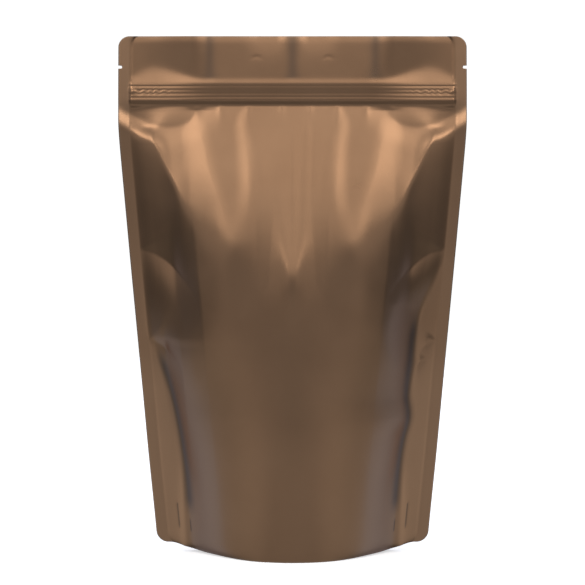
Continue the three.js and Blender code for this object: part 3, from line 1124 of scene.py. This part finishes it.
# The world: white behind the pouch for the camera, a dim cool room for reflections
WHITE_STRENGTH = 1.05
world = bpy.data.worlds.new("studio")
bpy.context.scene.world = world
world.use_nodes = True
tree = world.node_tree
room = tree.nodes["Background"]
room.inputs["Strength"].default_value = 1.0
sky = Nodes(tree)
where = tree.nodes.new("ShaderNodeTexCoord")
split = tree.nodes.new("ShaderNodeSeparateXYZ")
tree.links.new(where.outputs["Generated"], split.inputs["Vector"])

# Stops run from straight in front (0) round the sides (0.5) to straight behind (1).
ROOM = [
    (0.0, (0.14, 0.157, 0.182)),
    (0.03, (0.155, 0.17, 0.195)),
    (0.08, (0.155, 0.17, 0.195)),
    (0.15, (0.11, 0.122, 0.14)),
    (0.25, (0.07, 0.08, 0.095)),
    (0.55, (0.07, 0.082, 0.105)),
    (0.63, (0.14, 0.17, 0.25)),
    (0.72, (0.2, 0.26, 0.4)),
    (1.0, (0.3, 0.36, 0.55)),
]
UPPER_ROOM = [
    (0.0, (0.17, 0.185, 0.21)),
    (0.07, (0.26, 0.275, 0.3)),
    (0.15, (0.3, 0.315, 0.34)),
    (0.25, (0.26, 0.275, 0.3)),
    (0.42, (0.16, 0.175, 0.2)),
    (0.6, (0.2, 0.25, 0.38)),
    (1.0, (0.3, 0.36, 0.55)),
]
FAR_FLOOR = [
    (0.0, (0.33, 0.35, 0.38)),
    (0.03, (0.33, 0.35, 0.38)),
    (0.08, (0.25, 0.265, 0.29)),
    (0.14, (0.17, 0.182, 0.2)),
    (0.22, (0.1, 0.11, 0.125)),
    (0.3, (0.075, 0.085, 0.1)),
    (0.53, (0.075, 0.087, 0.11)),
    (0.66, (0.2, 0.26, 0.4)),
    (1.0, (0.3, 0.36, 0.5)),
]
NEAR_FLOOR = [
    (0.0, (0.078, 0.09, 0.105)),
    (0.42, (0.075, 0.087, 0.1)),
    (0.55, (0.10, 0.115, 0.15)),
    (0.75, (0.2, 0.25, 0.38)),
    (1.0, (0.25, 0.3, 0.45)),
]

# How far rays dip where the one turns into the next
LEVEL_DIP = (0.14, 0.0)
FAR_DIP = (-0.04, -0.15)
NEAR_DIP = (-0.22, -0.34)


def around(stops):
    """Colours from the front round to the back."""
    return sky.ramp(sky.spread(split.outputs["Y"], -1, 1, 0, 1), stops)


def blend_down(high, low, start, end):
    """Changes from one colour to another as rays dip from start to end."""
    dip = sky.spread(split.outputs["Z"], end, start, 0, 1)
    return sky.blend(sky.ramp(dip, [(0.0, (1, 1, 1)), (1.0, (0, 0, 0))]), high, low)


above = blend_down(around(UPPER_ROOM), around(ROOM), *LEVEL_DIP)
above = blend_down(above, around(FAR_FLOOR), *FAR_DIP)
whole = blend_down(above, around(NEAR_FLOOR), *NEAR_DIP)
tree.links.new(whole, room.inputs["Color"])
white = tree.nodes.new("ShaderNodeBackground")
white.inputs["Color"].default_value = (1, 1, 1, 1)
white.inputs["Strength"].default_value = WHITE_STRENGTH
path = tree.nodes.new("ShaderNodeLightPath")
choose = tree.nodes.new("ShaderNodeMixShader")
tree.links.new(path.outputs["Is Camera Ray"], choose.inputs["Fac"])
tree.links.new(room.outputs["Background"], choose.inputs[1])
tree.links.new(white.outputs["Background"], choose.inputs[2])
tree.links.new(choose.outputs["Shader"], tree.nodes["World Output"].inputs["Surface"])

# Camera at the photograph's angle
CAMERA_DISTANCE = 1.5
CAMERA_RISE = math.radians(4)
FRAME_WIDTH = 0.3422
AIM_HEIGHT = 0.1526
SENSOR = 36
camera_data = bpy.data.cameras.new("camera")
camera_data.sensor_width = SENSOR
camera_data.lens = SENSOR * CAMERA_DISTANCE / FRAME_WIDTH
camera = bpy.data.objects.new("camera", camera_data)
away = Vector((0, -math.cos(CAMERA_RISE), math.sin(CAMERA_RISE)))
camera.location = Vector((0, 0, AIM_HEIGHT)) + CAMERA_DISTANCE * away
camera.rotation_euler = (-away).to_track_quat("-Z", "Y").to_euler()
bpy.context.scene.collection.objects.link(camera)
bpy.context.scene.camera = camera
bpy.context.scene.view_settings.view_transform = "Standard"
